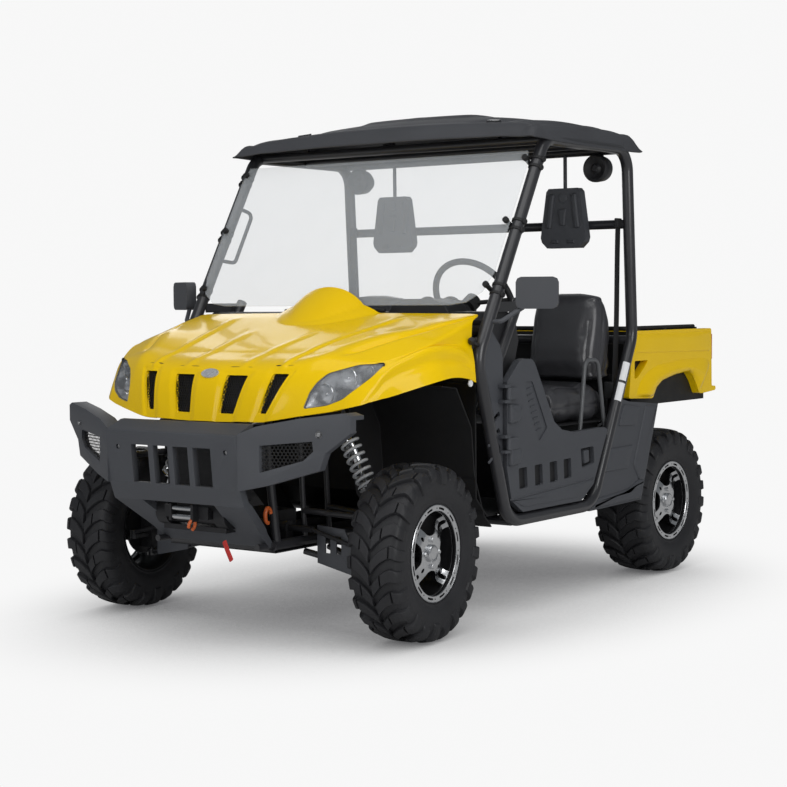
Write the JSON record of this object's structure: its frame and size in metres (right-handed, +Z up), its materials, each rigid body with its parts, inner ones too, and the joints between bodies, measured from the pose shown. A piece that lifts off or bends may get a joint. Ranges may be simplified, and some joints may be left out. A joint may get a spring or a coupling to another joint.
{
  "type": "side by side utility vehicle",
  "caption": "Two seat off-road utility vehicle with a tubular cage, roof, windshield, half doors, tipping cargo bed and a tilting hood.",
  "frame": {"origin": "on the ground, midway along the overall length and across the width", "axes": "+Z up, front of the vehicle towards -Y, its left (driver) side towards +X"},
  "size_m": [1.9196, 2.878, 1.982],
  "materials": {
    "black_tube": "satin powder coat",
    "black_steel": "satin",
    "roof_plastic": "grained matte",
    "charcoal_plastic": "grained matte",
    "black_plastic": "matte",
    "dash_plastic": "grained matte",
    "bed_liner": "textured matte",
    "engine_metal": "cast",
    "radiator_metal": "matt finned",
    "exhaust_steel": "dull",
    "damper_steel": "polished",
    "spring_steel": "satin grey",
    "yellow_paint": "high gloss with fine flake",
    "lamp_lens": "clear",
    "black_mesh": "matte",
    "winch_steel": "satin",
    "black_vinyl": "soft grained",
    "clear_sheet": "clear",
    "black_rubber": "matte",
    "black_webbing": "woven",
    "grey_tube": "satin",
    "red_lens": "gloss",
    "wheel_alloy": "machined bright",
    "tyre_rubber": "matte"
  },
  "bodies": {
    "chassis": {"cage_hoop_left": "black_tube", "cage_hoop_right": "black_tube", "cage_cross_tubes": "black_tube", "cage_braces": "black_tube", "roof": "roof_plastic", "chassis_frame": "black_tube", "hitch_receiver": "black_tube", "skid_plate": "black_plastic", "engine": "engine_metal", "radiator": "radiator_metal", "exhaust": "exhaust_steel", "front_drive": "black_steel", "rear_drive": "black_steel", "front_arms": "black_tube", "rear_arms": "black_tube", "arm_guards": "charcoal_plastic", "front_dampers": "damper_steel", "rear_dampers": "damper_steel", "front_springs": "spring_steel", "rear_springs": "spring_steel", "front_bumper": "charcoal_plastic", "winch": "winch_steel", "cab_tub": "black_plastic", "dashboard": "dash_plastic", "seat_cushions": "black_vinyl", "seat_backs": "black_vinyl", "side_panels": "charcoal_plastic", "windshield": "clear_sheet", "windshield_clamps": "black_rubber", "headrests": "charcoal_plastic", "speakers": "black_plastic", "seat_belts": "black_webbing", "hip_hoops": "grey_tube", "grab_handle": "black_tube", "mirrors": "charcoal_plastic", "inner_arches": "black_plastic", "steering_column": "black_steel", "steering_rack_housing": "black_steel"},
    "hood": {"hood": "yellow_paint", "headlamps": "lamp_lens", "grille_mesh": "black_mesh"},
    "cargo_bed": {"bed_tub": "bed_liner", "bed_sides": "yellow_paint", "tail_lamps": "red_lens"},
    "tailgate": {"tailgate": "yellow_paint"},
    "door_left": {"door_left": "charcoal_plastic"},
    "door_right": {"door_right": "charcoal_plastic"},
    "steering_wheel": {"steering_wheel": "black_rubber"},
    "steering_rack": {"tie_rods": "black_steel"},
    "knuckle_left": {"knuckle_left": "black_steel"},
    "knuckle_right": {"knuckle_right": "black_steel"},
    "wheel_front_left": {"rim_front_left": "wheel_alloy", "tyre_front_left": "tyre_rubber"},
    "wheel_front_right": {"rim_front_right": "wheel_alloy", "tyre_front_right": "tyre_rubber"},
    "wheel_rear_left": {"rim_rear_left": "wheel_alloy", "tyre_rear_left": "tyre_rubber"},
    "wheel_rear_right": {"rim_rear_right": "wheel_alloy", "tyre_rear_right": "tyre_rubber"}
  },
  "joints": [
    {"name": "steer_left", "type": "hinge", "parent": "chassis", "child": "knuckle_left", "pos_m": [0.6, -0.91, 0.32], "axis": [0, 0, 1], "range_deg": [-33, 23]},
    {"name": "steer_right", "type": "hinge", "parent": "chassis", "child": "knuckle_right", "pos_m": [-0.6, -0.91, 0.32], "axis": [0, 0, 1], "range_deg": [-33, 23]},
    {"name": "rack_slide", "type": "slide", "parent": "chassis", "child": "steering_rack", "axis": [1, 0, 0], "range_m": [-0.0625, 0.0435]},
    {"name": "steering_turn", "type": "hinge", "parent": "chassis", "child": "steering_wheel", "pos_m": [0.37, -0.047, 1.208], "axis": [0, 0.8686, 0.4955], "range_deg": [-298, 208]},
    {"name": "spin_front_left", "type": "hinge", "parent": "knuckle_left", "child": "wheel_front_left", "pos_m": [0.6797, -0.90303, 0.3175], "axis": [0.9962, 0.0872, 0], "continuous": true},
    {"name": "spin_front_right", "type": "hinge", "parent": "knuckle_right", "child": "wheel_front_right", "pos_m": [-0.6797, -0.91697, 0.3175], "axis": [0.9962, 0.0872, 0], "continuous": true},
    {"name": "spin_rear_left", "type": "hinge", "parent": "chassis", "child": "wheel_rear_left", "pos_m": [0.613, 1, 0.3175], "axis": [1, 0, 0], "continuous": true},
    {"name": "spin_rear_right", "type": "hinge", "parent": "chassis", "child": "wheel_rear_right", "pos_m": [-0.613, 1, 0.3175], "axis": [1, 0, 0], "continuous": true},
    {"name": "door_left_swing", "type": "hinge", "parent": "chassis", "child": "door_left", "pos_m": [0.764, -0.413, 0.76], "axis": [0, 0, 1], "range_deg": [-75, 0]},
    {"name": "door_right_swing", "type": "hinge", "parent": "chassis", "child": "door_right", "pos_m": [-0.764, -0.413, 0.76], "axis": [0, 0, 1], "range_deg": [0, 75]},
    {"name": "hood_tilt", "type": "hinge", "parent": "chassis", "child": "hood", "pos_m": [0, -1.25, 0.775], "axis": [1, 0, 0], "range_deg": [0, 45]},
    {"name": "bed_dump", "type": "hinge", "parent": "chassis", "child": "cargo_bed", "pos_m": [0, 1.262, 0.73], "axis": [-1, 0, 0], "range_deg": [0, 45]},
    {"name": "tailgate_drop", "type": "hinge", "parent": "cargo_bed", "child": "tailgate", "pos_m": [0, 1.416, 0.79], "axis": [-1, 0, 0], "range_deg": [0, 90]}
  ],
  "couplings": [
    {"joint": "steer_right", "follows": "steer_left", "ratio": 1},
    {"joint": "rack_slide", "follows": "steer_left", "m_per_rad": 0.106},
    {"joint": "steering_turn", "follows": "steer_left", "ratio": 9}
  ]
}
